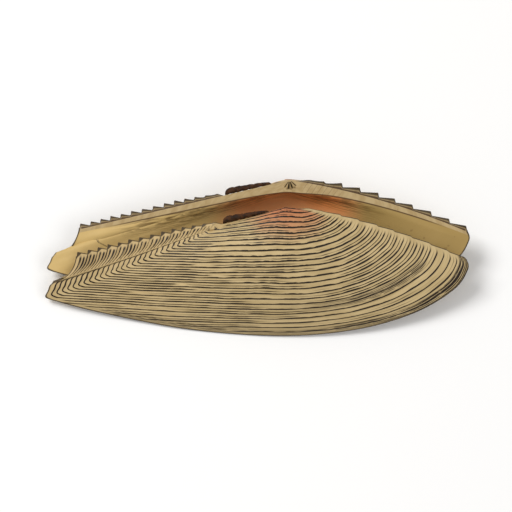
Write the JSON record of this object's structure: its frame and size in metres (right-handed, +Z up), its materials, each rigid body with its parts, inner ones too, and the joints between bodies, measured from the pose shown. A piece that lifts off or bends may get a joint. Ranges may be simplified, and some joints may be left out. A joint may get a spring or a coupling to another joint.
{
  "type": "bivalve shell",
  "caption": "Long beaked bivalve shell with ridged outside and toothed hinge edges, its valves parted and lying one over the other, the hinge plate and hollow of one in view.",
  "frame": {"origin": "on the surface that the shell lies on, under the middle of the pair's bounding box", "axes": "+X along the shell towards its rounded front end, +Y towards the hinge, +Z up"},
  "size_m": [0.0806, 0.0294, 0.0125],
  "materials": {
    "shell": "satin",
    "ligament": "satin"
  },
  "bodies": {
    "root": {"left_valve": "shell", "right_valve": "shell", "left_ligament": "ligament", "right_ligament": "ligament"}
  },
  "joints": []
}
